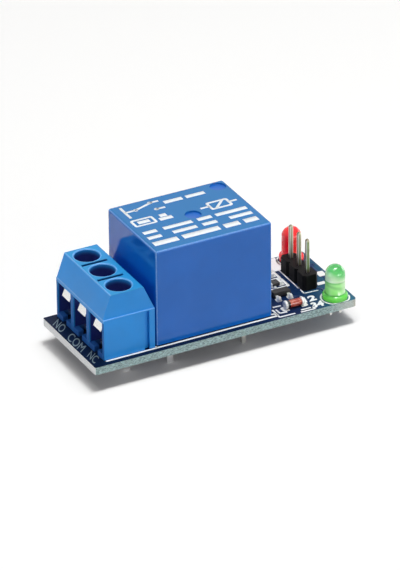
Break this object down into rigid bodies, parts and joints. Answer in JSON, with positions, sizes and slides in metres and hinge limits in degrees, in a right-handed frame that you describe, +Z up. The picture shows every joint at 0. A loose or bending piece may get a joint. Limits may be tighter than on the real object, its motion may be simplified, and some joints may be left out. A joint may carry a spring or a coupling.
{
  "type": "relay module board",
  "caption": "Small circuit board with a power relay, screw terminals for the switched wires, a pin header for the control side and two indicator lamps.",
  "frame": {"origin": "centre of the bounding box's base, on the surface that the lead tails stand on", "axes": "+X along the board from the screw terminals to the control header, +Y across it, +Z up out of the component side"},
  "size_m": [0.0434, 0.0172, 0.0198],
  "materials": {
    "board": "navy solder mask over glass-fibre laminate, matt green-grey sawn edges",
    "terminal_plastic": "moulded bright blue polyamide, slight sheen",
    "zinc_steel": "zinc-plated stamped steel",
    "relay_plastic": "moulded dark blue polyester, satin",
    "relay_base_plastic": "moulded dark blue polyester",
    "bobbin_plastic": "natural glass-filled nylon",
    "copper_wire": "enamelled copper wire",
    "soft_iron": "nickel-plated soft iron",
    "spring_bronze": "rolled phosphor bronze",
    "contact_strip": "tinned brass strip with silver contacts",
    "header_plastic": "black moulded header body",
    "tinned_pin": "tin-plated square wire",
    "green_lens": "green tinted clear epoxy",
    "red_lens": "red tinted clear epoxy",
    "lead_wire": "tin-plated lead frame",
    "chip_black": "black glazed resistor film on ceramic",
    "chip_ends": "tinned chip ends",
    "moulded_black": "black moulding compound",
    "diode_glass": "orange-red tinted glass",
    "solder": "bright tin solder"
  },
  "bodies": {
    "root": {"circuit_board": "board", "terminal_housing": "terminal_plastic", "relay_cover": "relay_plastic", "relay_base": "relay_base_plastic", "relay_bobbin": "bobbin_plastic", "relay_winding": "copper_wire", "relay_core": "soft_iron", "relay_yoke": "soft_iron", "relay_hinge_spring": "spring_bronze", "relay_common_terminal": "contact_strip", "relay_nc_terminal": "contact_strip", "relay_no_terminal": "contact_strip", "relay_coil_pins": "tinned_pin", "header_body": "header_plastic", "header_pins": "tinned_pin", "status_led_lens": "green_lens", "status_led_leads": "lead_wire", "power_led_lens": "red_lens", "power_led_leads": "lead_wire", "transistor_body": "moulded_black", "transistor_leads": "lead_wire", "diode_glass": "diode_glass", "diode_caps": "chip_ends", "terminal_solder": "solder", "relay_solder": "solder", "header_solder": "solder", "led_solder": "solder", "chip_solder": "solder", "terminal_frame_nc": "zinc_steel", "terminal_frame_com": "zinc_steel", "terminal_frame_no": "zinc_steel", "resistor_1_body": "chip_black", "resistor_1_ends": "chip_ends", "resistor_2_body": "chip_black", "resistor_2_ends": "chip_ends", "resistor_3_body": "chip_black", "resistor_3_ends": "chip_ends"},
    "armature": {"relay_armature": "soft_iron", "relay_contact_spring": "spring_bronze"},
    "plate_nc": {"pressure_plate_nc": "zinc_steel"},
    "screw_nc": {"terminal_screw_nc": "zinc_steel"},
    "plate_com": {"pressure_plate_com": "zinc_steel"},
    "screw_com": {"terminal_screw_com": "zinc_steel"},
    "plate_no": {"pressure_plate_no": "zinc_steel"},
    "screw_no": {"terminal_screw_no": "zinc_steel"}
  },
  "joints": [
    {"name": "plate_lift_nc", "type": "slide", "parent": "root", "child": "plate_nc", "axis": [0, 0, 1], "range_m": [0, 0.0022]},
    {"name": "screw_turn_nc", "type": "hinge", "parent": "plate_nc", "child": "screw_nc", "pos_m": [-0.0158, -0.00468, 0.0091], "axis": [0, 0, 1], "range_deg": [0, 1585]},
    {"name": "plate_lift_com", "type": "slide", "parent": "root", "child": "plate_com", "axis": [0, 0, 1], "range_m": [0, 0.0022]},
    {"name": "screw_turn_com", "type": "hinge", "parent": "plate_com", "child": "screw_com", "pos_m": [-0.0158, 0.0004, 0.0091], "axis": [0, 0, 1], "range_deg": [0, 1585]},
    {"name": "plate_lift_no", "type": "slide", "parent": "root", "child": "plate_no", "axis": [0, 0, 1], "range_m": [0, 0.0022]},
    {"name": "screw_turn_no", "type": "hinge", "parent": "plate_no", "child": "screw_no", "pos_m": [-0.0158, 0.00548, 0.0091], "axis": [0, 0, 1], "range_deg": [0, 1585]},
    {"name": "armature_swing", "type": "hinge", "parent": "root", "child": "armature", "pos_m": [0.0052, 0.0004, 0.0155], "axis": [0, -1, 0], "range_deg": [0, 2.1], "stiffness_Nm_per_rad": 0.02, "springref_deg": -5.73}
  ],
  "couplings": [
    {"joint": "screw_turn_nc", "follows": "plate_lift_nc", "rad_per_m": 12566},
    {"joint": "screw_turn_com", "follows": "plate_lift_com", "rad_per_m": 12566},
    {"joint": "screw_turn_no", "follows": "plate_lift_no", "rad_per_m": 12566}
  ]
}
